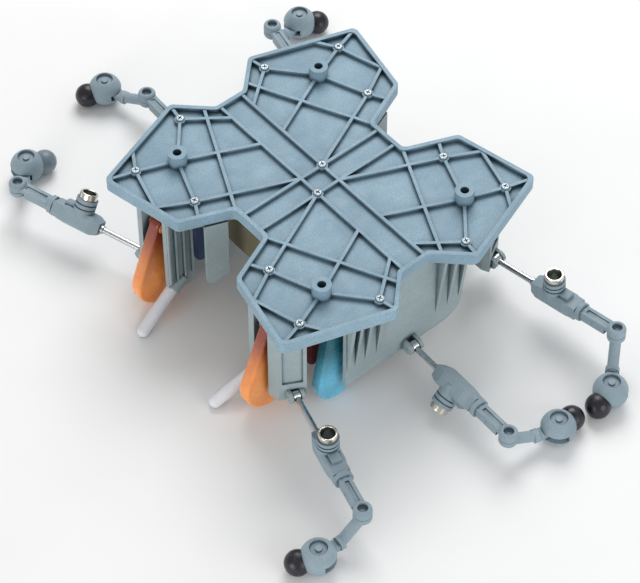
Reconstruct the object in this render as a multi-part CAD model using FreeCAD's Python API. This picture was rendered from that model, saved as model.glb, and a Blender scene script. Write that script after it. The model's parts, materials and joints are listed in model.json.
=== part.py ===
import FreeCAD, Part
import math
import os
from FreeCAD import Vector

# Six-legged spider robot: an X-shaped ribbed deck on a hull of hanging walls and corner pillars,
# with six jointed legs, four hanging paddles and two fixed feelers.  Millimetres.
# +Z is up, the front is -Y and the robot's left is +X.  Heights in this file are above the
# ground; every part is exported with its origin moved to the centre of the four deck bosses.

# ---- deck ----
# one quarter of the deck's outline, from the side notch round the lobe to the front or rear notch
NOTCH_SIDE = (72.0, 9.0)
LOBE_OUTER = (88.5, 26.0)
LOBE_TIP = (69.0, 83.0)
LOBE_INNER = (23.0, 73.0)
NOTCH_END = (11.4, 45.5)
OUTLINE_CORNER_R = 3.5
RIM_TOP = 78.0
RIM_WIDTH = 2.2
FLOOR_TOP = 75.2
FLOOR_BOTTOM = 73.2
SKIRT_BOTTOM = 71.5
RIB_TOP = 77.5
RIB_WIDTH = 1.7

# four tall bosses that carry whatever is bolted on the deck
BOSS = (56.0, 46.5)
BOSS_TOP = 83.3
BOSS_R = 4.9
BOSS_HOLE_R = 2.25

# screws that hold the deck to the hull, per quarter, and the two at the centre
TIP_SCREW = (64.0, 67.0)
OUTER_SCREW = (77.5, 28.0)
INNER_SCREW = (29.0, 57.0)
CENTRE_SCREW = (6.5, 7.0)
SCREW_BOSS_R = 2.9
SCREW_BOSS_TOP = 77.3
SCREW_HEAD_R = 2.1
SCREW_HEAD_H = 1.1
SCREW_HEAD_EDGE_R = 0.5
SCREW_SHANK_R = 1.1
SCREW_LENGTH = 7.0
SCREW_SEAT_GAP = 0.2
CROSS_LENGTH = 2.6
CROSS_WIDTH = 0.55
CROSS_DEPTH = 0.8

# ---- hull ----
PLATE_BOTTOM = 69.5
# how far the walls, pillars, posts and tabs reach up into the plate
PLATE_OVERLAP = 0.5
PLATE_INSET = 1.2
PLATE_WINDOW = (22.0, -28.0, 18.0)
WALL_OUTER_X = 70.8
WALL_THICK = 2.2
WALL_FRONT_Y = -43.5
WALL_REAR_Y = 34.5
WALL_BOTTOM = 13.5
WALL_CORNER_R = 13.0
FIN_YS = (-42.7, -37.5, -31.0, -23.5, 16.0, 24.0, 31.5)
FIN_DEPTH = 5.5
FIN_THICK = 2.0
FIN_BOTTOM = 25.0
PILLAR_PLAN = ((49.5, 75.5), (55.5, 74.0), (62.5, 61.5), (58.5, 59.5), (49.5, 59.5))
PILLAR_BOTTOM = 13.5
PILLAR_RECESS = 1.1
PILLAR_RIM = 1.9
PILLAR_PANEL = (25.5, 67.5)
POST_X = (33.0, 36.0)
POST_Y = (57.0, 73.0)
POST_BOTTOM = 13.0
POST_RIB_YS = (58.0, 63.0, 68.0, 72.2)
POST_RIB_WIDTH = 1.2
POST_RIB_STANDS_OUT = 1.4
POST_RIB_BOTTOM = 21.0
TAB_PLAN = ((18.3, 60.0), (13.8, 48.5))
TAB_THICK = 2.0
TAB_OUTER_BOTTOM = 22.0
TAB_INNER_BOTTOM = 30.5
TAB_CORNER_R = 4.0

# ---- inside the hull ----
BATTERY_X = 31.0
BATTERY_Y = (-38.0, 30.0)
BATTERY_BOTTOM = 38.0
BATTERY_WALL = 1.8
LID_THICK = 2.0
CELL_R = 7.1
CELL_LENGTH = 50.0
CELL_PITCH = 14.6
CELL_COUNT = 4
CELL_CONTACT_R = 2.6
CELL_CONTACT_STANDS_OUT = 1.2
LID_CORNER_R = 3.0
LID_GRIP_YS = (18.0, 21.0, 24.0)
LID_GRIP_HALF = 8.0
LID_GRIP_WIDTH = 1.2
LID_GRIP_DEPTH = 0.6
BOARD_X = (-26.0, 26.0)
BOARD_Y = (-31.0, 23.0)
BOARD_Z = 62.0
BOARD_THICK = 1.6
# each chip's X range, Y range and height, under the board
BOARD_CHIPS = (
    ((-9.0, 5.0), (-12.0, 2.0), 2.0),
    ((10.0, 18.0), (-20.0, -8.0), 3.0),
    ((-20.0, -13.0), (6.0, 14.0), 2.0),
)
BOARD_POST = (23.0, -28.0, 20.0)
BOARD_POST_R = 2.0
MOTOR_X = (37.0, 52.0)
MOTOR_Y = (-50.0, -34.0)
MOTOR_BOTTOM = 18.0
SHAFT_IN_MOTOR = 6.0
SHAFT_STANDS_OUT = 2.2
MOTOR_CORNER_R = 2.0
MOTOR_NOSE = 2.5
MOTOR_NOSE_R = 4.5
SKID_Y = 38.0
SKID_R = 5.0
SKID_STRUT_HALF = 4.0

# ---- paddles: a small round end on the pin, a large round end at the bottom ----
PADDLE_TOP_R = 5.0
PADDLE_THICK = 7.0
PADDLE_EDGE_R = 1.6
PADDLE_HUB_R = 3.3
PADDLE_HUB_STANDS_OUT = 1.4
PADDLE_PIN_R = 1.5
PADDLE_PIN_IN_PILLAR = 5.0
RUNNING_GAP = 0.05
END_GAP = 0.3
# centre X, pin (Y, Z), bottom round's centre (Y, Z) and radius
ORANGE_PADDLE = (43.6, (-68.5, 56.0), (-70.0, 18.0), 17.0)
BLUE_PADDLE = (62.0, (-43.5, 56.0), (-43.5, 14.0), 12.5)

# ---- feelers ----
FEELER_R = 3.25
FEELER_ROOT = (34.5, -67.5, 17.0)
FEELER_TIP = (29.4, -93.7, FEELER_R)
FEELER_SOCKET_R = 4.1
FEELER_SOCKET_BACK = 4.5
FEELER_SOCKET_FRONT = 4.0

# ---- legs ----
# per pair of legs: hip (X, Y, Z), elbow height, length from hip to elbow
PAIRS = {
    "front": ((61.0, -67.5, 18.0), 22.0, 79.5),
    "middle": ((75.0, -2.0, 17.0), 17.5, 72.0),
    "rear": ((61.0, 67.5, 18.0), 24.0, 78.5),
}
# rest pose of each leg, seen from above in degrees: direction of the leg, direction of the shin,
# direction of the toe, and how far its collar is turned round the leg
LEGS = {
    "front_left": (-16.4, -93.0, -119.0, 0.0),
    "middle_left": (-1.7, 74.0, 94.0, 135.0),
    "rear_left": (7.2, -48.5, -81.0, 0.0),
    "front_right": (198.8, 136.0, 80.0, 34.0),
    "middle_right": (177.7, 199.0, 245.0, 0.0),
    "rear_right": (169.1, 103.5, 62.5, 0.0),
}
ROD_R = 1.6
ROD_EYE_R = 2.9
ROD_EYE_WIDTH = 3.4
HIP_PIN_R = 1.0
HIP_ROOM = 0.6
EAR_GAP = 4.2
EAR_THICK = 1.9
EAR_R = 3.3
EAR_REACH = {"front": 9.0, "middle": 8.0, "rear": 9.0}
COLLAR_TO_ELBOW = 52.5
COLLAR_LENGTH = 29.0
COLLAR_GAP = 0.3
SHOULDER_R = 2.3
SHOULDER_LENGTH = 1.4
COLLAR_ROUND_R = 6.2
# the collar's half width and half height at distances from its start
COLLAR_HALF_WIDTHS = ((0.0, 3.4), (6.0, 5.4), (21.0, 5.4), (25.0, 4.4), (28.7, 4.4))
COLLAR_HALF_HEIGHTS = ((0.0, 3.2), (5.0, 4.8), (20.0, 4.8), (25.0, 3.9), (28.7, 3.9))
COLLAR_STEP_X = (16.0, 23.0)
COLLAR_STEP_HALF = 2.6
COLLAR_STEP_TOP = 6.6
BARREL_X = 12.5
BARREL_R = 5.75
BARREL_TOP = 12.0
BARREL_GROOVES = (6.6, 9.2)
GROOVE_WIDTH = 0.9
GROOVE_DEPTH = 0.6
BUSH_R = 4.9
BUSH_BORE_R = 3.6
BUSH_BOTTOM = 5.0
BUSH_TOP = 15.5
BUSH_LIP_R = 0.55
SOCKET_DEPTH = 9.0
FLANGE_R = 5.0
FLANGE_LENGTH = 2.4
NECK_R = 3.3
BAR_WIDTH = 6.0
BAR_HEIGHT = 5.8
BAR_GROOVE_HALF = 1.1
BAR_GROOVE_DEPTH = 0.5
KNUCKLE_R = 4.8
KNUCKLE_HALF = 4.6
KNUCKLE_EDGE_R = 2.0
KNUCKLE_ROOM = 0.5
KNEE_RECESS_DEPTH = 2.2
KNUCKLE_GAP = 0.3
KNEE_PIN_R = 1.5
RECESS_R = 2.7
SHIN_LENGTH = 29.3
SHIN_R = 2.9
SHIN_END_R = 3.6
SHIN_END_HALF = 1.4
SHIN_TO_FOOT = 3.6
FOOT_R = 9.1
ANKLE_LIMIT = 60.0
ANKLE_PIN_R = 1.2
FOOT_RECESS_R = 4.6
FOOT_RECESS_DEPTH = 2.9
FOOT_STUD_R = 1.7
FOOT_STUD_HEIGHT = 0.9
TONGUE_WIDTH = 5.6
TONGUE_HEIGHT = 3.2
SLOT_CLEARANCE = 0.35
TOE_R = 6.6
TOE_OFFSET = 10.2
TOE_DROP = 2.3


# ---- shape helpers ----
def box(x, y, z):
    """A box from three (low, high) pairs, in any order of the two."""
    low = Vector(min(x), min(y), min(z))
    size = Vector(max(x), max(y), max(z)) - low
    return Part.makeBox(size.x, size.y, size.z, low)


def prism(points, low, high):
    """A polygon in plan, raised from low to high."""
    corners = [Vector(x, y, low) for x, y in points]
    face = Part.Face(Part.makePolygon(corners + corners[:1]))
    return face.extrude(Vector(0, 0, high - low))


def rod(start, end, radius):
    """A cylinder from one point to another."""
    axis = Vector(*end) - Vector(*start)
    return Part.makeCylinder(radius, axis.Length, Vector(*start), axis)


def ball(centre, radius):
    return Part.makeSphere(radius, Vector(*centre))


def union(shapes):
    """One clean solid made of shapes that touch."""
    return shapes[0].multiFuse(shapes[1:]).removeSplitter()


def mirror_x(shape):
    return shape.mirror(Vector(0, 0, 0), Vector(1, 0, 0))


def mirror_y(shape):
    return shape.mirror(Vector(0, 0, 0), Vector(0, 1, 0))


def both_sides(shapes):
    return shapes + [mirror_x(shape) for shape in shapes]


def all_quarters(shapes):
    half = both_sides(shapes)
    return half + [mirror_y(shape) for shape in half]


def quarter_points(point):
    return [(sx * point[0], sy * point[1]) for sx in (1, -1) for sy in (1, -1)]


def turned(shape, axis, degrees, about=(0, 0, 0)):
    copy = shape.copy()
    copy.rotate(Vector(*about), Vector(*axis), degrees)
    return copy


# ---- deck ----
def deck_outline():
    """The whole outline, counter-clockwise from the left side notch."""
    quarter = [NOTCH_SIDE, LOBE_OUTER, LOBE_TIP, LOBE_INNER, NOTCH_END]
    rear_left = quarter
    rear_right = [(-x, y) for x, y in reversed(quarter)]
    front_right = [(-x, -y) for x, y in quarter]
    front_left = [(x, -y) for x, y in reversed(quarter)]
    return rear_left + rear_right + front_right + front_left


def outline_solid(inset, low, high):
    """The deck's outline moved inwards by inset, raised from low to high, with rounded corners."""
    corners = [Vector(x, y, low) for x, y in deck_outline()]
    wire = Part.makePolygon(corners + corners[:1])
    if inset:
        wire = wire.makeOffset2D(-inset, join=2)
    solid = Part.Face(wire).extrude(Vector(0, 0, high - low))
    upright = [edge for edge in solid.Edges if abs(edge.tangentAt(edge.FirstParameter).z) > 0.9]
    return solid.makeFillet(OUTLINE_CORNER_R, upright)


def rib(start, end):
    """A straight rib on the deck's floor between two points in plan."""
    across = Vector(start[1] - end[1], end[0] - start[0], 0).normalize() * (RIB_WIDTH / 2)
    plan = [
        (start[0] + across.x, start[1] + across.y),
        (end[0] + across.x, end[1] + across.y),
        (end[0] - across.x, end[1] - across.y),
        (start[0] - across.x, start[1] - across.y),
    ]
    return prism(plan, FLOOR_BOTTOM, RIB_TOP)


def lobe_ribs():
    """The ribs of one quarter."""
    spine_foot = (37.5, CENTRE_SCREW[1])
    inner_edge = (38.5, 74.5)
    runs = [
        (spine_foot, BOSS),
        (BOSS, TIP_SCREW),
        (TIP_SCREW, (68.0, 80.0)),
        (CENTRE_SCREW, INNER_SCREW),
        (INNER_SCREW, inner_edge),
        (TIP_SCREW, inner_edge),
        (TIP_SCREW, (75.5, 60.0)),
        (INNER_SCREW, (19.0, 62.5)),
        (INNER_SCREW, BOSS),
        (BOSS, OUTER_SCREW),
        (OUTER_SCREW, LOBE_OUTER),
        ((12.5, 44.5), (45.5, 28.5)),
        ((45.5, 28.5), (76.5, 13.5)),
        (OUTER_SCREW, (61.0, CENTRE_SCREW[1])),
    ]
    return [rib(start, end) for start, end in runs]


def band_ribs():
    """The two pairs of long ribs that cross at the centre."""
    x, y = CENTRE_SCREW
    ribs = []
    for side in (1, -1):
        ribs.append(rib((-NOTCH_SIDE[0], side * y), (NOTCH_SIDE[0], side * y)))
        ribs.append(rib((side * x, -NOTCH_END[1]), (side * x, NOTCH_END[1])))
    return ribs


def deck_screw_points():
    lobes = []
    for point in (TIP_SCREW, OUTER_SCREW, INNER_SCREW):
        lobes += quarter_points(point)
    centre = [(-CENTRE_SCREW[0], CENTRE_SCREW[1]), (CENTRE_SCREW[0], -CENTRE_SCREW[1])]
    return lobes + centre


def screw_holes():
    bottom = SCREW_BOSS_TOP - SCREW_LENGTH
    return [rod((x, y, bottom), (x, y, BOSS_TOP), SCREW_SHANK_R) for x, y in deck_screw_points()]


def screw_seats():
    """The room round each screw head, which the ribs leave free."""
    radius = SCREW_HEAD_R + SCREW_SEAT_GAP
    return [rod((x, y, SCREW_BOSS_TOP), (x, y, RIM_TOP), radius) for x, y in deck_screw_points()]


def deck_plate():
    block = outline_solid(0, SKIRT_BOTTOM, RIM_TOP)
    pocket = outline_solid(RIM_WIDTH, FLOOR_TOP, RIM_TOP + 1)
    underside = outline_solid(RIM_WIDTH, SKIRT_BOTTOM - 1, FLOOR_BOTTOM)
    tray = block.cut([pocket, underside])
    ribs = union(all_quarters(lobe_ribs()) + band_ribs())
    ribs = ribs.common(outline_solid(RIM_WIDTH / 2, FLOOR_BOTTOM, RIM_TOP))
    bosses = [rod((x, y, SKIRT_BOTTOM), (x, y, BOSS_TOP), BOSS_R) for x, y in quarter_points(BOSS)]
    for x, y in deck_screw_points():
        bosses.append(rod((x, y, SKIRT_BOTTOM), (x, y, SCREW_BOSS_TOP), SCREW_BOSS_R))
    deck = tray.multiFuse([ribs] + bosses)
    holes = [rod((x, y, SKIRT_BOTTOM - 1), (x, y, BOSS_TOP + 1), BOSS_HOLE_R)
             for x, y in quarter_points(BOSS)]
    return deck.cut(holes + screw_holes() + screw_seats()).removeSplitter()


def deck_screws():
    """Cross-recessed pan-head screws, one solid each."""
    screws = []
    head_top = SCREW_BOSS_TOP + SCREW_HEAD_H
    for x, y in deck_screw_points():
        head = rod((x, y, SCREW_BOSS_TOP), (x, y, head_top), SCREW_HEAD_R)
        rim = [edge for edge in head.Edges if edge.BoundBox.ZMin > head_top - 0.01]
        head = head.makeFillet(SCREW_HEAD_EDGE_R, rim)
        long, short = CROSS_LENGTH / 2, CROSS_WIDTH / 2
        depth = (head_top - CROSS_DEPTH, head_top + 1)
        arms = [box((x - long, x + long), (y - short, y + short), depth),
                box((x - short, x + short), (y - long, y + long), depth)]
        cross = turned(union(arms), (0, 0, 1), 10 * x + 7 * y, (x, y, 0))
        tip = SCREW_BOSS_TOP - SCREW_LENGTH
        shank = rod((x, y, tip), (x, y, SCREW_BOSS_TOP), SCREW_SHANK_R)
        screws.append(union([head, shank]).cut(cross))
    return Part.makeCompound(screws)


# ---- hull ----
def side_wall():
    """The left wall: a flat panel with a round lower rear corner and tapered fins outside."""
    inner_x = WALL_OUTER_X - WALL_THICK
    top = PLATE_BOTTOM + PLATE_OVERLAP
    panel = box((inner_x, WALL_OUTER_X), (WALL_FRONT_Y, WALL_REAR_Y), (WALL_BOTTOM, top))
    corner = [edge for edge in panel.Edges
              if abs(edge.BoundBox.YMin - WALL_REAR_Y) < 0.01
              and edge.BoundBox.YLength < 0.01
              and edge.BoundBox.ZMax < WALL_BOTTOM + 0.01]
    panel = panel.makeFillet(WALL_CORNER_R, corner)
    fins = []
    for y in FIN_YS:
        corners = [
            Vector(WALL_OUTER_X - 0.5, y, top),
            Vector(WALL_OUTER_X + FIN_DEPTH, y, top),
            Vector(WALL_OUTER_X, y, FIN_BOTTOM),
            Vector(WALL_OUTER_X - 0.5, y, FIN_BOTTOM),
        ]
        fins.append(Part.Face(Part.makePolygon(corners + corners[:1])).extrude(Vector(0, FIN_THICK, 0)))
    return [panel] + fins


def rear_pillar():
    """The pillar of the rear left lobe, with a sunk panel in its outer face."""
    top = PLATE_BOTTOM + PLATE_OVERLAP
    column = prism(PILLAR_PLAN, PILLAR_BOTTOM, top)
    start = Vector(*PILLAR_PLAN[1], 0)
    end = Vector(*PILLAR_PLAN[2], 0)
    along = (end - start).normalize()
    outward = Vector(-along.y, along.x, 0)
    if outward.x < 0:
        outward = outward * -1
    first = start + along * PILLAR_RIM
    last = end - along * PILLAR_RIM
    sunk = outward * PILLAR_RECESS
    plan = [first + outward, last + outward, last - sunk, first - sunk]
    return column.cut(prism([(p.x, p.y) for p in plan], *PILLAR_PANEL))


def rear_post():
    """The inner post of the rear left lobe, with small ribs on its inner face."""
    top = PLATE_BOTTOM + PLATE_OVERLAP
    parts = [box(POST_X, POST_Y, (POST_BOTTOM, top))]
    across = (POST_X[0] - POST_RIB_STANDS_OUT, POST_X[1])
    half = POST_RIB_WIDTH / 2
    for y in POST_RIB_YS:
        parts.append(box(across, (y - half, y + half), (POST_RIB_BOTTOM, top)))
    return union(parts)


def rear_tab():
    """The tab that hangs under the lobe's inner edge; its slanted bottom is lowest at the outer end."""
    start = Vector(*TAB_PLAN[0], 0)
    along = Vector(*TAB_PLAN[1], 0) - start
    width = along.Length
    top = PLATE_BOTTOM + PLATE_OVERLAP
    face = -TAB_THICK / 2
    corners = [
        Vector(0, face, TAB_OUTER_BOTTOM),
        Vector(width, face, TAB_INNER_BOTTOM),
        Vector(width, face, top),
        Vector(0, face, top),
    ]
    tab = Part.Face(Part.makePolygon(corners + corners[:1])).extrude(Vector(0, TAB_THICK, 0))
    bottom = [edge for edge in tab.Edges
              if edge.BoundBox.YLength > TAB_THICK / 2
              and edge.BoundBox.ZMax < TAB_INNER_BOTTOM + 0.01]
    tab = tab.makeFillet(TAB_CORNER_R, bottom)
    tab = turned(tab, (0, 0, 1), math.degrees(math.atan2(along.y, along.x)))
    tab.translate(start)
    return tab


def hip_frame(leg):
    """The hip's place, the leg's direction in plan and its upward slope, in degrees."""
    pair, side = leg.rsplit("_", 1)
    hip, elbow_height, length = PAIRS[pair]
    centre = Vector(hip[0] if side == "left" else -hip[0], hip[1], hip[2])
    slope = math.degrees(math.asin((elbow_height - hip[2]) / length))
    return centre, LEGS[leg][0], slope


def along_leg(shape, leg):
    """Moves a shape drawn along +X from the hip into its place on the leg."""
    centre, heading, slope = hip_frame(leg)
    placed = turned(shape, (0, 1, 0), -slope)
    placed = turned(placed, (0, 0, 1), heading)
    placed.translate(centre)
    return placed


def at_hip(shape, leg):
    """The same, but kept level."""
    centre, heading, _ = hip_frame(leg)
    placed = turned(shape, (0, 0, 1), heading)
    placed.translate(centre)
    return placed


def hip_ears(leg):
    """Two ears that hold the hip pin, reaching back into the hull."""
    reach = EAR_REACH[leg.rsplit("_", 1)[0]]
    ears = []
    for side in (1, -1):
        span = (side * EAR_GAP / 2, side * (EAR_GAP / 2 + EAR_THICK))
        web = box((-reach, 0), span, (-EAR_R, EAR_R))
        eye = rod((0, span[0], 0), (0, span[1], 0), EAR_R)
        ears.append(at_hip(union([web, eye]), leg))
    return ears


def hip_pin(leg, radius):
    half = EAR_GAP / 2 + EAR_THICK
    return at_hip(rod((0, -half, 0), (0, half, 0), radius), leg)


def hip_relief(leg):
    """The room in which the rod's eye turns."""
    half = EAR_GAP / 2
    return at_hip(rod((0, -half, 0), (0, half, 0), ROD_EYE_R + HIP_ROOM), leg)


def feeler_axis():
    return Vector(*FEELER_TIP) - Vector(*FEELER_ROOT)


def feeler_left():
    return union([
        rod(FEELER_ROOT, FEELER_TIP, FEELER_R),
        ball(FEELER_ROOT, FEELER_R),
        ball(FEELER_TIP, FEELER_R),
    ])


def feeler_socket():
    root = Vector(*FEELER_ROOT)
    direction = feeler_axis().normalize()
    back = root - direction * FEELER_SOCKET_BACK
    front = root + direction * FEELER_SOCKET_FRONT
    return rod(back, front, FEELER_SOCKET_R)


def orange_pin():
    """The fixed pin on which the left orange paddle hangs, from the post to the pillar."""
    y, z = ORANGE_PADDLE[1]
    return rod((POST_X[0], y, z), (PILLAR_PLAN[0][0] + PADDLE_PIN_IN_PILLAR, y, z), PADDLE_PIN_R)


def drive_shaft_left(radius=PADDLE_PIN_R):
    """The gear motor's output shaft, which carries the left blue paddle."""
    y, z = BLUE_PADDLE[1]
    end = BLUE_PADDLE[0] + PADDLE_THICK / 2 + SHAFT_STANDS_OUT
    return rod((MOTOR_X[1] - SHAFT_IN_MOTOR, y, z), (end, y, z), radius)


def hull():
    plate = outline_solid(PLATE_INSET, PLATE_BOTTOM, SKIRT_BOTTOM)
    window_x, window_front, window_rear = PLATE_WINDOW
    window = box((-window_x, window_x), (window_front, window_rear), (PLATE_BOTTOM - 1, SKIRT_BOTTOM + 1))
    walls = both_sides(side_wall())
    lobe = [rear_pillar(), rear_post(), rear_tab()]
    sockets = both_sides([feeler_socket()])
    ears = [ear for leg in LEGS for ear in hip_ears(leg)]
    body = plate.cut(window).multiFuse(walls + all_quarters(lobe) + sockets + ears)
    holes = [hip_relief(leg) for leg in LEGS]
    holes += [hip_pin(leg, HIP_PIN_R) for leg in LEGS]
    holes += both_sides([feeler_left()])
    holes += both_sides([orange_pin()])
    holes += screw_holes()
    holes += [rod((x, y, PLATE_BOTTOM - 1), (x, y, SKIRT_BOTTOM + 1), BOSS_HOLE_R)
              for x, y in quarter_points(BOSS)]
    return body.cut(holes).removeSplitter()


def hull_pins():
    """The six hip pins and the orange paddles' two pins."""
    return Part.makeCompound([hip_pin(leg, HIP_PIN_R) for leg in LEGS] + both_sides([orange_pin()]))


# ---- inside the hull ----
def battery_box():
    shell = box((-BATTERY_X, BATTERY_X), BATTERY_Y, (BATTERY_BOTTOM, PLATE_BOTTOM))
    inner_x = BATTERY_X - BATTERY_WALL
    inner_y = (BATTERY_Y[0] + BATTERY_WALL, BATTERY_Y[1] - BATTERY_WALL)
    cavity_top = PLATE_BOTTOM - BATTERY_WALL
    cavity = box((-inner_x, inner_x), inner_y, (BATTERY_BOTTOM - 1, cavity_top))
    board_top = BOARD_Z + BOARD_THICK
    posts = [rod((x, y, board_top), (x, y, PLATE_BOTTOM), BOARD_POST_R) for x, y in board_posts()]
    return union([shell.cut(cavity)] + posts)


def board_posts():
    x, front, rear = BOARD_POST
    return [(side * x, y) for side in (-1, 1) for y in (front, rear)]


def control_board():
    """The board with its main chips."""
    board = box(BOARD_X, BOARD_Y, (BOARD_Z, BOARD_Z + BOARD_THICK))
    return union([board] + [box(x, y, (BOARD_Z - height, BOARD_Z)) for x, y, height in BOARD_CHIPS])


def battery_lid():
    bottom = BATTERY_BOTTOM - LID_THICK
    lid = box((-BATTERY_X, BATTERY_X), BATTERY_Y, (bottom, BATTERY_BOTTOM))
    upright = [edge for edge in lid.Edges if edge.BoundBox.ZLength > LID_THICK / 2]
    lid = lid.makeFillet(LID_CORNER_R, upright)
    across = (-LID_GRIP_HALF, LID_GRIP_HALF)
    grips = [box(across, (y, y + LID_GRIP_WIDTH), (bottom - 1, bottom + LID_GRIP_DEPTH))
             for y in LID_GRIP_YS]
    return lid.cut(grips)


def battery_cells():
    """Round cells side by side, each with its small end contact."""
    middle = (BATTERY_Y[0] + BATTERY_Y[1]) / 2
    z = BATTERY_BOTTOM + CELL_R
    cells = []
    for index in range(CELL_COUNT):
        x = (index - (CELL_COUNT - 1) / 2) * CELL_PITCH
        way = 1 if index % 2 else -1
        body = rod((x, middle - CELL_LENGTH / 2, z), (x, middle + CELL_LENGTH / 2, z), CELL_R)
        end = middle + way * CELL_LENGTH / 2
        tip = end + way * CELL_CONTACT_STANDS_OUT
        contact = rod((x, end - way, z), (x, tip, z), CELL_CONTACT_R)
        cells.append(union([body, contact]))
    return Part.makeCompound(cells)


def gear_motor_left():
    """A closed gear motor with a round nose and the bore in which its output shaft turns."""
    case = box(MOTOR_X, MOTOR_Y, (MOTOR_BOTTOM, PLATE_BOTTOM))
    upright = [edge for edge in case.Edges if edge.BoundBox.ZLength > PLATE_BOTTOM / 2]
    case = case.makeFillet(MOTOR_CORNER_R, upright)
    y, z = BLUE_PADDLE[1]
    nose = rod((MOTOR_X[1] - 1, y, z), (MOTOR_X[1] + MOTOR_NOSE, y, z), MOTOR_NOSE_R)
    bore = drive_shaft_left(PADDLE_PIN_R + RUNNING_GAP)
    bore.translate(Vector(-END_GAP, 0, 0))
    return union([case, nose]).cut(bore)


def tail_skid():
    along = (SKID_Y - SKID_STRUT_HALF, SKID_Y + SKID_STRUT_HALF)
    strut = box((-SKID_R, SKID_R), along, (SKID_R, PLATE_BOTTOM))
    return union([strut, ball((0, SKID_Y, SKID_R), SKID_R)])


# ---- paddles ----
def paddle(centre_x, pin, bottom, bottom_r, bore_r):
    """A teardrop plate round the pin and the bottom round, with softened edges and a bored hub."""
    span = math.hypot(bottom[0] - pin[0], bottom[1] - pin[1])
    heading = math.atan2(bottom[1] - pin[1], bottom[0] - pin[0])
    lean = math.acos((PADDLE_TOP_R - bottom_r) / span)

    def tangent_point(centre, radius, side):
        angle = heading + side * lean
        return Vector(centre_x, centre[0] + radius * math.cos(angle), centre[1] + radius * math.sin(angle))

    def far_point(centre, radius, way):
        return Vector(centre_x, centre[0] + way * radius * math.cos(heading),
                      centre[1] + way * radius * math.sin(heading))

    top = [tangent_point(pin, PADDLE_TOP_R, side) for side in (1, -1)]
    low = [tangent_point(bottom, bottom_r, side) for side in (1, -1)]
    wire = Part.Wire([
        Part.Arc(top[1], far_point(pin, PADDLE_TOP_R, -1), top[0]).toShape(),
        Part.LineSegment(top[0], low[0]).toShape(),
        Part.Arc(low[0], far_point(bottom, bottom_r, 1), low[1]).toShape(),
        Part.LineSegment(low[1], top[1]).toShape(),
    ])
    plate = Part.Face(wire).extrude(Vector(PADDLE_THICK, 0, 0))
    plate.translate(Vector(-PADDLE_THICK / 2, 0, 0))
    plate = plate.makeFillet(PADDLE_EDGE_R, [e for e in plate.Edges if e.BoundBox.XLength < 0.01])
    reach = PADDLE_THICK / 2 + PADDLE_HUB_STANDS_OUT
    hub = rod((centre_x - reach, *pin), (centre_x + reach, *pin), PADDLE_HUB_R)
    bore = rod((centre_x - reach, *pin), (centre_x + reach, *pin), bore_r)
    return union([plate, hub]).cut(bore)


# ---- legs ----
def leg_length(leg):
    return PAIRS[leg.rsplit("_", 1)[0]][2]


def collar_start(leg):
    return leg_length(leg) - COLLAR_TO_ELBOW


def bar_start(leg):
    return collar_start(leg) + COLLAR_LENGTH


def leg_rod(leg):
    """The steel rod: an eye on the hip pin, a shoulder that holds the collar, and a shank into the bar."""
    half = ROD_EYE_WIDTH / 2
    eye = rod((0, -half, 0), (0, half, 0), ROD_EYE_R)
    shank = rod((0, 0, 0), (bar_start(leg) + SOCKET_DEPTH, 0, 0), ROD_R)
    shoulder_end = collar_start(leg) - COLLAR_GAP
    shoulder = rod((shoulder_end - SHOULDER_LENGTH, 0, 0), (shoulder_end, 0, 0), SHOULDER_R)
    bore = rod((0, -half - 1, 0), (0, half + 1, 0), HIP_PIN_R + RUNNING_GAP)
    return along_leg(union([eye, shank, shoulder]).cut(bore), leg)


def upright(radius, low, high, leg):
    """A cylinder on the barrel's axis, between two heights above the rod's axis."""
    x = collar_start(leg) + BARREL_X
    return rod((x, 0, low), (x, 0, high), radius)


def leg_bush(leg):
    """The metal tube that lines the collar's barrel, with a rounded lip."""
    tube = upright(BUSH_R, BUSH_BOTTOM, BUSH_TOP, leg).cut(upright(BUSH_BORE_R, 0, BUSH_TOP + 1, leg))
    lip = [edge for edge in tube.Edges if edge.BoundBox.ZMin > BUSH_TOP - 0.01]
    tube = tube.makeFillet(BUSH_LIP_R, lip)
    return along_leg(turned(tube, (1, 0, 0), LEGS[leg][3]), leg)


def two_sided(half_sizes, start):
    """An outline that is alike on both sides of the rod, from (distance, half size) pairs."""
    below = [(start + x, -size) for x, size in half_sizes]
    above = [(start + x, size) for x, size in reversed(half_sizes)]
    return below + above


def leg_collar(leg):
    """A rounded, chamfered sleeve that turns on the rod, with the grooved barrel for the bush."""
    start = collar_start(leg)
    end = COLLAR_LENGTH - COLLAR_GAP
    reach = COLLAR_ROUND_R + 1
    from_above = prism(two_sided(COLLAR_HALF_WIDTHS, start), -reach, reach)
    from_side = turned(prism(two_sided(COLLAR_HALF_HEIGHTS, start), -reach, reach), (1, 0, 0), 90)
    round_bar = rod((start, 0, 0), (start + end, 0, 0), COLLAR_ROUND_R)
    body = from_above.common(from_side).common(round_bar)
    barrel = upright(BARREL_R, 0, BARREL_TOP, leg)
    step_x = (start + COLLAR_STEP_X[0], start + COLLAR_STEP_X[1])
    step = box(step_x, (-COLLAR_STEP_HALF, COLLAR_STEP_HALF), (ROD_R + 1, COLLAR_STEP_TOP))
    collar = union([body, barrel, step])
    core = upright(BARREL_R - GROOVE_DEPTH, 0, BARREL_TOP, leg)
    grooves = [upright(BARREL_R + 1, z, z + GROOVE_WIDTH, leg).cut(core)
               for z in BARREL_GROOVES]
    collar = collar.cut(grooves + [upright(BUSH_R, BUSH_BOTTOM, BARREL_TOP + 1, leg)])
    collar = turned(collar, (1, 0, 0), LEGS[leg][3])
    bore = rod((start - 1, 0, 0), (start + COLLAR_LENGTH, 0, 0), ROD_R + RUNNING_GAP)
    return along_leg(collar.cut(bore).removeSplitter(), leg)


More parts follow.
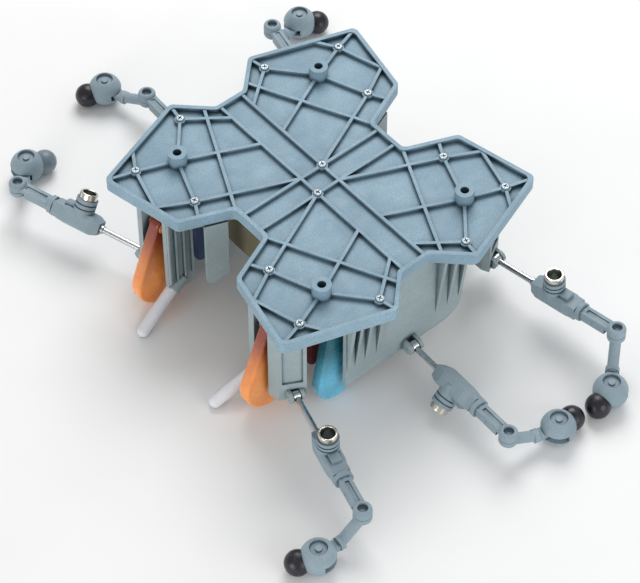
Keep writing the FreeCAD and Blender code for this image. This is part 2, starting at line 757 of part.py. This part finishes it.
def elbow(leg):
    """The knee pin's place at the middle of the knuckle."""
    centre, heading, slope = hip_frame(leg)
    turn = math.radians(heading)
    flat = leg_length(leg) * math.cos(math.radians(slope))
    rise = leg_length(leg) * math.sin(math.radians(slope))
    return centre + Vector(flat * math.cos(turn), flat * math.sin(turn), rise)


def at_point(shape, place, heading):
    placed = turned(shape, (0, 0, 1), heading)
    placed.translate(place)
    return placed


def leg_bar(leg):
    """The plastic bar: flange and socket on the rod, grooved beam, upper half of the knuckle."""
    start = bar_start(leg)
    length = leg_length(leg)
    half = BAR_WIDTH / 2
    flange = rod((start, 0, 0), (start + FLANGE_LENGTH, 0, 0), FLANGE_R)
    neck = rod((start, 0, 0), (start + SOCKET_DEPTH + 1, 0, 0), NECK_R)
    beam = box((start + 1, length - KNUCKLE_R - 1.0), (-half, half), (-BAR_HEIGHT / 2, BAR_HEIGHT / 2))
    tongue = box((start + 8, length - 1.5), (-half, half), (KNUCKLE_GAP, BAR_HEIGHT / 2))
    beam = union([flange, neck, beam, tongue])
    groove_x = (start + FLANGE_R, length - KNUCKLE_R - KNUCKLE_ROOM)
    groove_z = (BAR_HEIGHT / 2 - BAR_GROOVE_DEPTH, BAR_HEIGHT)
    groove = box(groove_x, (-BAR_GROOVE_HALF, BAR_GROOVE_HALF), groove_z)
    socket = rod((start - 1, 0, 0), (start + SOCKET_DEPTH, 0, 0), ROD_R)
    beam = along_leg(beam.cut([groove, socket]), leg)
    cap = rod((0, 0, KNUCKLE_GAP / 2), (0, 0, KNUCKLE_HALF), KNUCKLE_R)
    cap = cap.makeFillet(KNUCKLE_EDGE_R, [e for e in cap.Edges if e.BoundBox.ZMin > KNUCKLE_HALF - 0.01])
    recess = rod((0, 0, KNUCKLE_HALF - KNEE_RECESS_DEPTH), (0, 0, KNUCKLE_HALF + 1), RECESS_R)
    bore = rod((0, 0, 0), (0, 0, KNUCKLE_HALF), KNEE_PIN_R + RUNNING_GAP)
    place = elbow(leg)
    heading = LEGS[leg][0]
    room = rod((0, 0, -2 * KNUCKLE_HALF), (0, 0, KNUCKLE_GAP / 2), KNUCKLE_R + KNUCKLE_ROOM)
    room = at_point(room, place, heading)
    knuckle = at_point(cap, place, heading)
    cuts = [at_point(recess, place, heading), at_point(bore, place, heading), room]
    return beam.fuse(knuckle).cut(cuts).removeSplitter()


def shin_reach(leg):
    """Level distance from the knee pin to the ankle pin."""
    drop = elbow(leg).z - FOOT_R
    return math.sqrt(SHIN_LENGTH ** 2 - drop ** 2)


def leg_shin(leg):
    """Lower half of the knuckle with the knee pin, round shank, end collar and ankle tongue."""
    place = elbow(leg)
    reach = shin_reach(leg)
    ankle_z = FOOT_R - place.z
    low = -KNUCKLE_HALF
    cap = rod((0, 0, low), (0, 0, -KNUCKLE_GAP / 2), KNUCKLE_R)
    cap = cap.makeFillet(KNUCKLE_EDGE_R, [e for e in cap.Edges if e.BoundBox.ZMax < low + 0.01])
    pin = rod((0, 0, -1), (0, 0, KNUCKLE_HALF - KNEE_RECESS_DEPTH - 0.4), KNEE_PIN_R)
    end_x = reach - FOOT_R - SHIN_TO_FOOT
    shank = rod((0.5, 0, low / 2 - 0.6), (end_x, 0, ankle_z), SHIN_R)
    collar = rod((end_x - SHIN_END_HALF, 0, ankle_z), (end_x + SHIN_END_HALF, 0, ankle_z), SHIN_END_R)
    half = TONGUE_WIDTH / 2
    tall = TONGUE_HEIGHT / 2
    tongue = box((end_x, reach), (-half, half), (ankle_z - tall, ankle_z + tall))
    eye = rod((reach, 0, ankle_z - tall), (reach, 0, ankle_z + tall), half)
    above = rod((0, 0, -KNUCKLE_GAP / 2), (0, 0, 20), KNUCKLE_R + 0.8)
    shin = union([shank.cut(above), cap, collar, tongue, eye])
    bore = rod((reach, 0, ankle_z - 5), (reach, 0, ankle_z + 5), ANKLE_PIN_R + RUNNING_GAP)
    shin = union([shin.cut(bore), pin])
    return at_point(shin, place, LEGS[leg][1])


def foot_place(leg):
    turn = math.radians(LEGS[leg][1])
    reach = shin_reach(leg)
    place = elbow(leg) + Vector(reach * math.cos(turn), reach * math.sin(turn), 0)
    return Vector(place.x, place.y, FOOT_R)


def leg_foot(leg):
    """A ball with a level slot for the shin's tongue, the ankle pin and a round recess on top."""
    half = TONGUE_WIDTH / 2 + SLOT_CLEARANCE
    tall = TONGUE_HEIGHT / 2 + SLOT_CLEARANCE
    far = FOOT_R + 3.0
    limit = math.radians(ANKLE_LIMIT)
    near = (half * math.sin(limit), half * math.cos(limit))
    end = (near[0] - far * math.cos(limit), near[1] + far * math.sin(limit))
    wedge = [near, end, (-far, end[1]), (-far, -end[1]), (end[0], -end[1]), (near[0], -near[1])]
    slot = prism(wedge, -tall, tall).fuse(rod((0, 0, -tall), (0, 0, tall), half + 0.4))
    pin = rod((0, 0, -tall - 1), (0, 0, tall + 1), ANKLE_PIN_R)
    floor = FOOT_R - FOOT_RECESS_DEPTH
    stud = rod((0, 0, 0), (0, 0, floor + FOOT_STUD_HEIGHT), FOOT_STUD_R)
    recess = rod((0, 0, floor), (0, 0, FOOT_R + 1), FOOT_RECESS_R).cut(stud)
    sphere = ball((0, 0, 0), FOOT_R)
    foot = union([sphere.cut([slot, recess]), pin])
    return at_point(foot, foot_place(leg), LEGS[leg][2])


def leg_toe(leg):
    """A round rubber toe seated on the ball."""
    dome = ball((TOE_OFFSET, 0, -TOE_DROP), TOE_R)
    return at_point(dome.cut(ball((0, 0, 0), FOOT_R)), foot_place(leg), LEGS[leg][2])


# ---- export ----
def nodes():
    made = {
        "deck_plate": deck_plate(),
        "deck_screws": deck_screws(),
        "hull": hull(),
        "hull_pins": hull_pins(),
        "battery_box": battery_box(),
        "battery_lid": battery_lid(),
        "battery_cells": battery_cells(),
        "control_board": control_board(),
        "tail_skid": tail_skid(),
        "feelers": Part.makeCompound(both_sides([feeler_left()])),
    }
    pairs = {
        "gear_motor": gear_motor_left(),
        "drive_shaft": drive_shaft_left(),
        "orange_paddle": paddle(*ORANGE_PADDLE, PADDLE_PIN_R + RUNNING_GAP),
        "blue_paddle": paddle(*BLUE_PADDLE, PADDLE_PIN_R),
    }
    for name, shape in pairs.items():
        made[name + "_left"] = shape
        made[name + "_right"] = mirror_x(shape)
    pieces = {
        "rod": leg_rod,
        "collar": leg_collar,
        "bush": leg_bush,
        "bar": leg_bar,
        "shin": leg_shin,
        "foot": leg_foot,
        "toe": leg_toe,
    }
    for leg in LEGS:
        for name, make in pieces.items():
            made[leg + "_" + name] = make(leg)
    return made


def export():
    os.makedirs("parts", exist_ok=True)
    for name, shape in nodes().items():
        moved = shape.copy()
        moved.translate(Vector(0, 0, -BOSS_TOP))
        moved.exportStep("parts/" + name + ".step")
        print(name, len(moved.Solids), moved.isValid(), round(moved.Volume, 1))


export()
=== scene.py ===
import bpy
import json
import math
from mathutils import Matrix, Vector


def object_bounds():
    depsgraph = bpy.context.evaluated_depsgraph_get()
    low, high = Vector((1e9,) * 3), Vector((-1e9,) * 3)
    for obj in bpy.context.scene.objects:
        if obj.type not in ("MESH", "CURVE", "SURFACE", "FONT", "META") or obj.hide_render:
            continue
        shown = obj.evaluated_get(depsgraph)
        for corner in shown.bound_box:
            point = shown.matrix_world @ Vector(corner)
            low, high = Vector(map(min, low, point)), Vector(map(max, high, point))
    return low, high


# The looks of the six-legged robot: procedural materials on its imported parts, a pale floor, soft
# studio light and the camera.  Metres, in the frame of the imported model.

MM = 0.001

# sizes of the surface patterns, in millimetres
CLOUDS = 26.0
FLOW_MARKS = 3.5
GRAIN = 0.8
FINE_GRAIN = 0.5
WAVES = 9.0
GLOSS_PATCHES = 7.0
WORN_WIDTH = 0.45
EDGE_ROUND = 0.4
# reach of the painted shade on close walls
WALL_REACH = 6.0

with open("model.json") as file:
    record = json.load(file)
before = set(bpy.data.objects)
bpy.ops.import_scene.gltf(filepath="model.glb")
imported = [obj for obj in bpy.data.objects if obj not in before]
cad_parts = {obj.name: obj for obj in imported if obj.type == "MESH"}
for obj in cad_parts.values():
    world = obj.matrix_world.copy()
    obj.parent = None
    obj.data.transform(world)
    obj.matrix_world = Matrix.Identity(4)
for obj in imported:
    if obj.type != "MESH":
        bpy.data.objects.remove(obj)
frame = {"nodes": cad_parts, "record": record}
CAD_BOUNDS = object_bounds()
GROUND = Vector(CAD_BOUNDS[0]).z

# ---- colours (linear) ----
WHITE = (1.0, 1.0, 1.0)
DECK_LIGHT = (0.295, 0.440, 0.540)
DECK_DARK = (0.160, 0.255, 0.325)
HULL_LIGHT = (0.355, 0.435, 0.455)
HULL_DARK = (0.215, 0.275, 0.290)
LEG_LIGHT = (0.300, 0.385, 0.440)
LEG_DARK = (0.190, 0.260, 0.305)
# colour of the painted shade in corners and on close walls
PAINTED_SHADE = (0.028, 0.062, 0.085)
EDGE_PALE = (0.420, 0.510, 0.570)
MOTOR_PALE = (0.160, 0.130, 0.140)
FLOOR_DARK = (0.880, 0.880, 0.880)
FLOOR_LIGHT = (0.930, 0.930, 0.930)


# ---- node helpers ----
class Nodes:
    """Builds one material's node tree."""

    def __init__(self, name):
        self.material = bpy.data.materials.new(name)
        self.material.use_nodes = True
        self.tree = self.material.node_tree
        self.shader = self.tree.nodes["Principled BSDF"]
        self.place = self.add("ShaderNodeTexCoord").outputs["Object"]

    def add(self, kind, **settings):
        node = self.tree.nodes.new(kind)
        for key, value in settings.items():
            setattr(node, key, value)
        return node

    def plug(self, source, target):
        self.tree.links.new(source, target)

    def set(self, socket, value):
        if isinstance(value, bpy.types.NodeSocket):
            self.plug(value, socket)
        elif isinstance(value, tuple) and len(value) == 3 and socket.type == "RGBA":
            socket.default_value = (*value, 1.0)
        else:
            socket.default_value = value

    def noise(self, size_mm, detail=3.0, stretch=(1.0, 1.0, 1.0)):
        """Noise between 0 and 1 whose blobs are about size_mm across."""
        mapping = self.add("ShaderNodeMapping")
        self.plug(self.place, mapping.inputs["Vector"])
        mapping.inputs["Scale"].default_value = tuple(1.0 / (size_mm * MM * axis) for axis in stretch)
        noise = self.add("ShaderNodeTexNoise")
        self.plug(mapping.outputs[0], noise.inputs["Vector"])
        noise.inputs["Scale"].default_value = 1.0
        noise.inputs["Detail"].default_value = detail
        return noise.outputs["Fac"]

    def ramp(self, value, low, high, low_out=0.0, high_out=1.0):
        node = self.add("ShaderNodeMapRange", interpolation_type="SMOOTHSTEP")
        self.plug(value, node.inputs["Value"])
        limits = {"From Min": low, "From Max": high, "To Min": low_out, "To Max": high_out}
        for name, number in limits.items():
            node.inputs[name].default_value = number
        return node.outputs["Result"]

    def mix(self, factor, first, second):
        node = self.add("ShaderNodeMix", data_type="RGBA")
        colours = [socket for socket in node.inputs if socket.type == "RGBA"]
        self.set(node.inputs["Factor"], factor)
        self.set(colours[0], first)
        self.set(colours[1], second)
        return [socket for socket in node.outputs if socket.type == "RGBA"][0]

    def times(self, first, second):
        node = self.add("ShaderNodeMath", operation="MULTIPLY")
        self.set(node.inputs[0], first)
        self.set(node.inputs[1], second)
        return node.outputs[0]

    def crevice(self, reach_mm):
        """1 in open places, falling to 0 deep in corners."""
        node = self.add("ShaderNodeAmbientOcclusion", samples=8)
        node.inputs["Distance"].default_value = reach_mm * MM
        return node.outputs["AO"]

    def wear_and_glow_band(self, width_mm):
        """1 along edges, over about width_mm on each side."""
        bevel = self.add("ShaderNodeBevel", samples=6)
        bevel.inputs["Radius"].default_value = width_mm * MM
        dot = self.add("ShaderNodeVectorMath", operation="DOT_PRODUCT")
        self.plug(bevel.outputs["Normal"], dot.inputs[0])
        self.plug(self.add("ShaderNodeNewGeometry").outputs["Normal"], dot.inputs[1])
        return self.ramp(dot.outputs["Value"], 0.995, 0.90)

    def steep(self):
        """0 on level faces, 1 on upright ones."""
        split = self.add("ShaderNodeSeparateXYZ")
        self.plug(self.add("ShaderNodeNewGeometry").outputs["True Normal"], split.inputs[0])
        level = self.add("ShaderNodeMath", operation="ABSOLUTE")
        self.plug(split.outputs["Z"], level.inputs[0])
        return self.ramp(level.outputs[0], 0.70, 0.20)

    def bump(self, layers, round_mm=0.0):
        """Stacks (height, depth in mm, strength) layers, on edges rounded by round_mm."""
        normal = None
        if round_mm:
            bevel = self.add("ShaderNodeBevel", samples=6)
            bevel.inputs["Radius"].default_value = round_mm * MM
            normal = bevel.outputs["Normal"]
        for height, depth_mm, strength in layers:
            node = self.add("ShaderNodeBump")
            node.inputs["Strength"].default_value = strength
            node.inputs["Distance"].default_value = depth_mm * MM
            self.plug(height, node.inputs["Height"])
            if normal:
                self.plug(normal, node.inputs["Normal"])
            normal = node.outputs["Normal"]
        self.plug(normal, self.shader.inputs["Normal"])


# ---- materials ----
def moulded(name, light, dark, crevice_mm=3.0, shade_colour=PAINTED_SHADE, pale=EDGE_PALE,
            coat=0.0, grain=0.30, wall_shade=0.0):
    """Moulded plastic: uneven tint, fine grain, faint flow marks, painted shade in its corners and
    pale rubbed edges.

    Upright faces that other faces stand close to get painted shade, as much as the last argument
    says.
    """
    n = Nodes(name)
    cloudy = n.ramp(n.noise(CLOUDS, 4.0), 0.30, 0.70)
    flow = n.ramp(n.noise(FLOW_MARKS, 3.0, stretch=(1.0, 5.0, 1.0)), 0.35, 0.70)
    grainy = n.ramp(n.noise(GRAIN, 2.0), 0.38, 0.62)
    colour = n.mix(n.times(cloudy, 0.45), light, dark)
    colour = n.mix(n.times(flow, 0.14), colour, dark)
    colour = n.mix(n.times(grainy, grain), colour, dark)
    # painted shade on upright faces close to other faces
    if wall_shade:
        enclosed = n.ramp(n.crevice(WALL_REACH), 0.45, 0.90, wall_shade, 0.0)
        colour = n.mix(n.times(n.steep(), enclosed), colour, shade_colour)
    rubbed = n.times(n.wear_and_glow_band(WORN_WIDTH), n.ramp(n.noise(4.0), 0.35, 0.65, 0.15, 0.70))
    colour = n.mix(rubbed, colour, pale)
    # painted shade in corners and creases
    corners = n.ramp(n.crevice(crevice_mm), 0.30, 0.86, 0.97, 0.0)
    colour = n.mix(corners, colour, shade_colour)
    n.set(n.shader.inputs["Base Color"], colour)
    gloss = n.ramp(n.noise(GLOSS_PATCHES, 4.0), 0.25, 0.75, 0.46, 0.60)
    n.set(n.shader.inputs["Roughness"], gloss)
    n.shader.inputs["Coat Weight"].default_value = coat
    n.shader.inputs["Specular IOR Level"].default_value = 0.35
    n.bump([(n.noise(FINE_GRAIN, 2.0), 0.04, 0.25), (n.noise(WAVES, 2.0), 0.25, 0.10)], EDGE_ROUND)
    return n.material


def tinted(name, bright, deep_and_shaded, rim, unshaded_below, fully_shaded_above):
    """Glossy coloured plastic with painted light: brighter low down, painted shade towards the top,
    and a painted glow along its edges.
    """
    n = Nodes(name)
    split = n.add("ShaderNodeSeparateXYZ")
    n.plug(n.place, split.inputs[0])
    # painted shade: from the bright colour low down to the deep shaded colour high up
    painted_top_shade = n.ramp(split.outputs["Z"], unshaded_below, fully_shaded_above)
    colour = n.mix(painted_top_shade, bright, deep_and_shaded)
    colour = n.mix(n.times(n.ramp(n.noise(12.0, 3.0), 0.35, 0.70), 0.25), colour, deep_and_shaded)
    # painted glow along the edges, in the rim colour
    colour = n.mix(n.times(n.wear_and_glow_band(0.9), 0.8), colour, rim)
    n.set(n.shader.inputs["Base Color"], colour)
    n.set(n.shader.inputs["Roughness"], n.ramp(n.noise(6.0), 0.3, 0.7, 0.22, 0.38))
    n.shader.inputs["Coat Weight"].default_value = 0.35
    n.shader.inputs["Coat Roughness"].default_value = 0.12
    n.shader.inputs["Subsurface Weight"].default_value = 0.25
    n.shader.inputs["Subsurface Scale"].default_value = 3 * MM
    n.bump([(n.noise(6.0, 2.0), 0.20, 0.15), (n.noise(0.6, 2.0), 0.03, 0.20)], EDGE_ROUND)
    return n.material


def metal(name, bright, stain_and_shade, rough, stain_share):
    """Bright metal with fine pits, smears, and painted shade in its corners."""
    n = Nodes(name)
    smear = n.ramp(n.noise(5.0, 4.0), 0.35, 0.75)
    colour = n.mix(n.times(smear, stain_share), bright, stain_and_shade)
    # painted shade in corners, a darker copy of the stain colour
    corners = n.ramp(n.crevice(2.5), 0.25, 0.80, 0.75, 0.0)
    colour = n.mix(corners, colour, tuple(0.35 * part for part in stain_and_shade))
    n.set(n.shader.inputs["Base Color"], colour)
    n.set(n.shader.inputs["Roughness"], n.ramp(n.noise(2.0, 4.0), 0.3, 0.7, *rough))
    n.shader.inputs["Metallic"].default_value = 1.0
    n.bump([(n.noise(0.4, 2.0), 0.01, 0.12)], 0.15)
    return n.material


def rubber(name, skin, dusty):
    """Rubber: smooth skin with pale dust and tiny pits."""
    n = Nodes(name)
    dust = n.times(n.ramp(n.noise(3.0, 5.0), 0.52, 0.75), 0.35)
    n.set(n.shader.inputs["Base Color"], n.mix(dust, skin, dusty))
    n.set(n.shader.inputs["Roughness"], n.ramp(n.noise(4.0), 0.3, 0.7, 0.24, 0.42))
    n.bump([(n.noise(0.5, 3.0), 0.04, 0.35), (n.noise(3.0, 2.0), 0.10, 0.15)])
    return n.material


def circuit_board(name):
    """Green solder mask over faint straight tracks."""
    n = Nodes(name)
    brick = n.add("ShaderNodeTexBrick", offset=0.5)
    n.plug(n.place, brick.inputs["Vector"])
    brick.inputs["Scale"].default_value = 1.0 / (9 * MM)
    brick.inputs["Mortar Size"].default_value = 0.04
    n.set(brick.inputs["Color1"], (0.010, 0.090, 0.045))
    n.set(brick.inputs["Color2"], (0.014, 0.120, 0.055))
    n.set(brick.inputs["Mortar"], (0.060, 0.260, 0.120))
    n.set(n.shader.inputs["Base Color"], brick.outputs["Color"])
    n.set(n.shader.inputs["Roughness"], n.ramp(n.noise(5.0), 0.3, 0.7, 0.25, 0.40))
    n.bump([(n.noise(0.8, 2.0), 0.03, 0.2)])
    return n.material


def make_materials():
    """One material for each slot named in the record."""
    return {
        # each moulded material paints shade into its corners, and the deck also onto its close walls
        "deck_plastic": moulded("deck_plastic", DECK_LIGHT, DECK_DARK,
                                crevice_mm=3.6, grain=0.42, wall_shade=0.85),
        "hull_plastic": moulded("hull_plastic", HULL_LIGHT, HULL_DARK, crevice_mm=6.0),
        "leg_plastic": moulded("leg_plastic", LEG_LIGHT, LEG_DARK, crevice_mm=2.5),
        "feeler_plastic": moulded("feeler_plastic", (0.78, 0.80, 0.84), (0.60, 0.63, 0.69),
                                  crevice_mm=4.0, shade_colour=(0.30, 0.32, 0.36), pale=(0.86, 0.87, 0.90)),
        # orange and blue: brighter low down, turning to painted shade between the two heights, with a
        # painted glow on the edges
        "orange_plastic": tinted("orange_plastic", (1.00, 0.360, 0.090), (0.240, 0.032, 0.012),
                                 (0.95, 0.58, 0.16), GROUND + 22 * MM, GROUND + 56 * MM),
        "blue_plastic": tinted("blue_plastic", (0.135, 0.520, 0.740), (0.010, 0.110, 0.150),
                               (0.26, 0.60, 0.76), GROUND + 16 * MM, GROUND + 44 * MM),
        # the second colour of each metal is its stain, and a darker copy of it is painted shade in
        # its corners
        "rod_steel": metal("rod_steel", (0.58, 0.60, 0.62), (0.40, 0.41, 0.44),
                           (0.20, 0.30), stain_share=0.3),
        "bush_metal": metal("bush_metal", (0.80, 0.77, 0.70), (0.50, 0.43, 0.30),
                            (0.10, 0.22), stain_share=0.4),
        "screw_steel": metal("screw_steel", (0.44, 0.50, 0.54), (0.30, 0.36, 0.39),
                             (0.50, 0.65), stain_share=0.4),
        "toe_rubber": rubber("toe_rubber", (0.010, 0.010, 0.016), (0.050, 0.050, 0.065)),
        "toe_worn": rubber("toe_worn", (0.170, 0.215, 0.255), (0.290, 0.340, 0.380)),
        "cell_wrap": moulded("cell_wrap", (0.05, 0.06, 0.08), (0.02, 0.02, 0.03), coat=0.5),
        "board_green": circuit_board("board_green"),
        "motor_red": moulded("motor_red", (0.240, 0.040, 0.045), (0.120, 0.020, 0.024),
                             shade_colour=(0.020, 0.006, 0.006), pale=MOTOR_PALE),
        "motor_blue": moulded("motor_blue", (0.060, 0.125, 0.270), (0.035, 0.075, 0.160),
                              shade_colour=(0.006, 0.008, 0.020), pale=MOTOR_PALE),
        "battery_olive": moulded("battery_olive", (0.180, 0.165, 0.105), (0.100, 0.092, 0.060),
                                 shade_colour=(0.020, 0.020, 0.015), pale=(0.22, 0.21, 0.17)),
    }


def dress(materials):
    """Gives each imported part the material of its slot."""
    for part in frame["record"]["subparts"]:
        obj = frame["nodes"][part["node"]]
        for slot in obj.material_slots:
            slot.material = materials[part["material_slot"]]


# ---- camera and studio ----
CAMERA_AZIMUTH = math.radians(49.67)
CAMERA_ELEVATION = math.radians(48.46)
CAMERA_DISTANCE = 1.3
FOCAL_PER_WIDTH = 4.0625
SENSOR_WIDTH = 36.0
# the camera looks at the centre of the deck's rim, and its frame is shifted down from there
RIM_BELOW_BOSS = 5.3 * MM
FRAME_BELOW_AXIS = -0.1771
CLIP = (0.05, 20.0)
FLOOR_HALF = 3.0
SKY_STRENGTH = 0.50
# name, place, target, size, power and colour of each light
LIGHTS = (
    ("key", (-0.60, 0.62, 1.00), (0, 0, 0), 1.00, 12.5, WHITE),
    ("side", (1.00, 0.10, 0.25), (0, 0, -0.04), 0.70, 3.0, (0.95, 0.98, 1.0)),
    ("front", (0.25, -1.10, 0.10), (0, 0, -0.06), 0.70, 5.0, (1.0, 0.98, 0.95)),
)


def camera_axes():
    """The camera's right, up and back directions."""
    sin_a, cos_a = math.sin(CAMERA_AZIMUTH), math.cos(CAMERA_AZIMUTH)
    sin_e, cos_e = math.sin(CAMERA_ELEVATION), math.cos(CAMERA_ELEVATION)
    right = Vector((cos_a, sin_a, 0))
    up = Vector((-sin_a * sin_e, cos_a * sin_e, cos_e))
    back = Vector((sin_a * cos_e, -cos_a * cos_e, sin_e))
    return right, up, back


def add_camera():
    right, up, back = camera_axes()
    aim = Vector((0, 0, -RIM_BELOW_BOSS))
    data = bpy.data.cameras.new("camera")
    data.sensor_width = SENSOR_WIDTH
    data.lens = SENSOR_WIDTH * FOCAL_PER_WIDTH
    data.shift_y = FRAME_BELOW_AXIS
    data.clip_start, data.clip_end = CLIP
    camera = bpy.data.objects.new("camera", data)
    bpy.context.scene.collection.objects.link(camera)
    axes = Matrix((right, up, back)).transposed().to_4x4()
    camera.matrix_world = Matrix.Translation(aim + back * CAMERA_DISTANCE) @ axes
    bpy.context.scene.camera = camera


def add_light(name, place, target, size, power, colour):
    data = bpy.data.lights.new(name, "AREA")
    data.shape = "DISK"
    data.size = size
    data.energy = power
    data.color = colour
    light = bpy.data.objects.new(name, data)
    bpy.context.scene.collection.objects.link(light)
    light.location = place
    light.rotation_euler = (Vector(target) - Vector(place)).to_track_quat("-Z", "Y").to_euler()


def add_studio():
    """A pale floor under the robot, a soft key from behind and above, and gentle fills."""
    half = FLOOR_HALF
    mesh = bpy.data.meshes.new("floor")
    square = ((-half, -half), (half, -half), (half, half), (-half, half))
    corners = [(x, y, GROUND) for x, y in square]
    mesh.from_pydata(corners, [], [(0, 1, 2, 3)])
    floor = bpy.data.objects.new("floor", mesh)
    bpy.context.scene.collection.objects.link(floor)
    n = Nodes("floor")
    n.set(n.shader.inputs["Base Color"], n.mix(n.noise(60.0, 2.0), FLOOR_DARK, FLOOR_LIGHT))
    n.shader.inputs["Roughness"].default_value = 0.9
    mesh.materials.append(n.material)

    world = bpy.data.worlds.new("studio")
    world.use_nodes = True
    background = world.node_tree.nodes["Background"]
    background.inputs["Color"].default_value = (*WHITE, 1.0)
    background.inputs["Strength"].default_value = SKY_STRENGTH
    bpy.context.scene.world = world

    for light in LIGHTS:
        add_light(*light)


dress(make_materials())
add_studio()
add_camera()
bpy.context.scene.view_settings.view_transform = "Standard"
